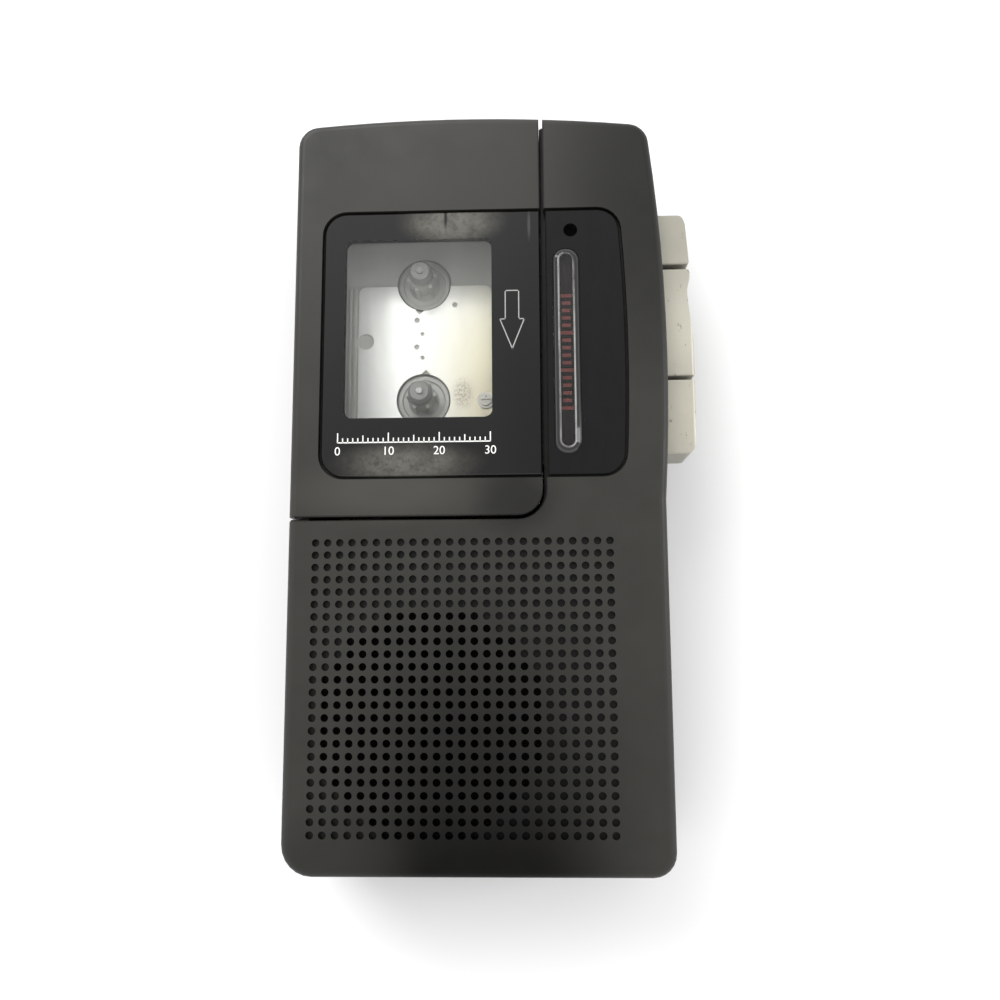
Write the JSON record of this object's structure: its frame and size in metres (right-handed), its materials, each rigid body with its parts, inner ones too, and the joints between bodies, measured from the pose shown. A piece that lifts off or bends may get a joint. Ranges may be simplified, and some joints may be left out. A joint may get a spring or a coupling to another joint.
{
  "type": "microcassette recorder",
  "caption": "Handheld microcassette recorder with perforated speaker grille, hinged cassette lid with clear window, and sprung keys on its side.",
  "frame": {"origin": "middle of the back face's bounding box, on the surface the recorder lies on", "axes": "+X towards the keys, +Y towards the top end, +Z out of the front face"},
  "size_m": [0.0632, 0.1172, 0.0244],
  "materials": {
    "case_plastic": "satin moulded",
    "rear_plastic": "fine grained",
    "clear_panel": "clear polished",
    "panel_print": "printed",
    "control_gloss": "polished",
    "clear_bar": "clear polished",
    "red_strip": "printed",
    "key_silver": "champagne silver paint",
    "spring_steel": "drawn",
    "sheet_steel": "rolled",
    "cell_wrap": "printed wrap",
    "black_plastic": "satin",
    "black_rubber": "matte",
    "pot_body": "phenolic",
    "switch_metal": "plated",
    "speaker_steel": "black lacquer",
    "mic_felt": "felt cap",
    "dark_screw": "blackened",
    "bright_steel": "ground",
    "cone_paper": "pulp",
    "board_green": "solder mask",
    "chip_black": "moulded",
    "deck_dark": "moulded",
    "deck_grey": "moulded",
    "plate_bright": "bright plated",
    "reel_grey": "moulded",
    "flywheel_metal": "turned",
    "bush_brass": "turned",
    "gear_white": "moulded",
    "head_metal": "polished",
    "head_dark": "moulded"
  },
  "bodies": {
    "recorder": {"front_case": "case_plastic", "speaker_grille": "case_plastic", "rear_case": "rear_plastic", "control_panel": "control_gloss", "lamp_bar": "clear_bar", "lamp_strip": "red_strip", "record_lamp": "red_strip", "record_key_spring": "spring_steel", "play_key_spring": "spring_steel", "stop_key_spring": "spring_steel", "battery_springs": "spring_steel", "battery_contacts": "spring_steel", "key_bracket": "sheet_steel", "battery_cells": "cell_wrap", "earphone_jack": "black_plastic", "mic_jack": "black_plastic", "power_jack": "black_plastic", "mic_boot": "black_rubber", "drive_belt": "black_rubber", "volume_pot": "pot_body", "speed_switch": "switch_metal", "motor": "switch_metal", "speaker_frame": "speaker_steel", "microphone": "mic_felt", "case_screws": "dark_screw", "chassis_screws": "bright_steel", "deck_screw": "bright_steel", "reel_shafts": "bright_steel", "idler_shaft": "bright_steel", "lid_hinge_pin": "bright_steel", "speaker_cone": "cone_paper", "main_board": "board_green", "board_parts": "chip_black", "deck_chassis": "deck_dark", "deck_frame": "deck_grey", "deck_plate": "plate_bright", "capstan_bush": "bush_brass"},
    "lid": {"cassette_lid": "case_plastic", "lid_window": "clear_panel", "lid_mask": "panel_print"},
    "record_button": {"record_key": "key_silver"},
    "play_button": {"play_key": "key_silver"},
    "stop_button": {"stop_key": "key_silver"},
    "carriage": {"head_carriage": "sheet_steel", "play_head": "head_metal", "erase_head": "head_dark", "pinch_arm": "sheet_steel", "pinch_axle": "bright_steel"},
    "roller": {"pinch_roller": "black_rubber"},
    "flywheel_group": {"flywheel": "flywheel_metal", "capstan": "bright_steel", "drive_pinion": "gear_white"},
    "idler": {"idler_gear": "gear_white"},
    "takeup": {"takeup_reel": "reel_grey"},
    "supply": {"supply_reel": "reel_grey"},
    "motor_rotor": {"motor_pulley": "bush_brass"},
    "volume": {"volume_wheel": "black_plastic"},
    "speed": {"speed_knob": "black_plastic"},
    "battery_door": {"battery_cover": "rear_plastic"}
  },
  "joints": [
    {"name": "lid_hinge", "type": "hinge", "parent": "recorder", "child": "lid", "pos_m": [-0.03065, 0.025, 0.01075], "axis": [0, -1, 0], "range_deg": [0, 90]},
    {"name": "record_press", "type": "slide", "parent": "recorder", "child": "record_button", "axis": [-1, 0, 0], "range_m": [0, 0.0024], "stiffness_N_per_m": 250, "deforming": ["record_key_spring"]},
    {"name": "play_press", "type": "slide", "parent": "recorder", "child": "play_button", "axis": [-1, 0, 0], "range_m": [0, 0.0024], "stiffness_N_per_m": 250, "deforming": ["play_key_spring"]},
    {"name": "stop_press", "type": "slide", "parent": "recorder", "child": "stop_button", "axis": [-1, 0, 0], "range_m": [0, 0.0024], "stiffness_N_per_m": 250, "deforming": ["stop_key_spring"]},
    {"name": "carriage_slide", "type": "slide", "parent": "recorder", "child": "carriage", "axis": [-1, 0, 0], "range_m": [0, 0.0024]},
    {"name": "roller_spin", "type": "hinge", "parent": "carriage", "child": "roller", "pos_m": [0.00935, 0.01165, 0.012], "axis": [0, 0, 1], "continuous": true},
    {"name": "flywheel_spin", "type": "hinge", "parent": "recorder", "child": "flywheel_group", "pos_m": [0.0029, 0.01165, 0.012], "axis": [0, 0, 1], "continuous": true},
    {"name": "idler_spin", "type": "hinge", "parent": "recorder", "child": "idler", "pos_m": [-0.00303, 0.01071, 0.012], "axis": [0, 0, 1], "continuous": true},
    {"name": "takeup_spin", "type": "hinge", "parent": "recorder", "child": "takeup", "pos_m": [-0.01225, 0.01457, 0.012], "axis": [0, 0, 1], "continuous": true},
    {"name": "supply_spin", "type": "hinge", "parent": "recorder", "child": "supply", "pos_m": [-0.01225, 0.03453, 0.012], "axis": [0, 0, 1], "continuous": true},
    {"name": "motor_spin", "type": "hinge", "parent": "recorder", "child": "motor_rotor", "pos_m": [0.0163, -0.016, 0.012], "axis": [0, 0, 1], "continuous": true},
    {"name": "volume_turn", "type": "hinge", "parent": "recorder", "child": "volume", "pos_m": [0.0188, -0.035, 0.008], "axis": [0, 0, 1], "range_deg": [-140, 140]},
    {"name": "speed_slide", "type": "slide", "parent": "recorder", "child": "speed", "axis": [0, 1, 0], "range_m": [0, 0.003]},
    {"name": "battery_door_slide", "type": "slide", "parent": "recorder", "child": "battery_door", "axis": [0, -1, 0], "range_m": [0, 0.058]}
  ],
  "couplings": [
    {"joint": "carriage_slide", "follows": "play_press", "ratio": 1},
    {"joint": "idler_spin", "follows": "flywheel_spin", "ratio": -0.66667},
    {"joint": "takeup_spin", "follows": "flywheel_spin", "ratio": 0.375},
    {"joint": "motor_spin", "follows": "flywheel_spin", "ratio": 3.5882}
  ]
}
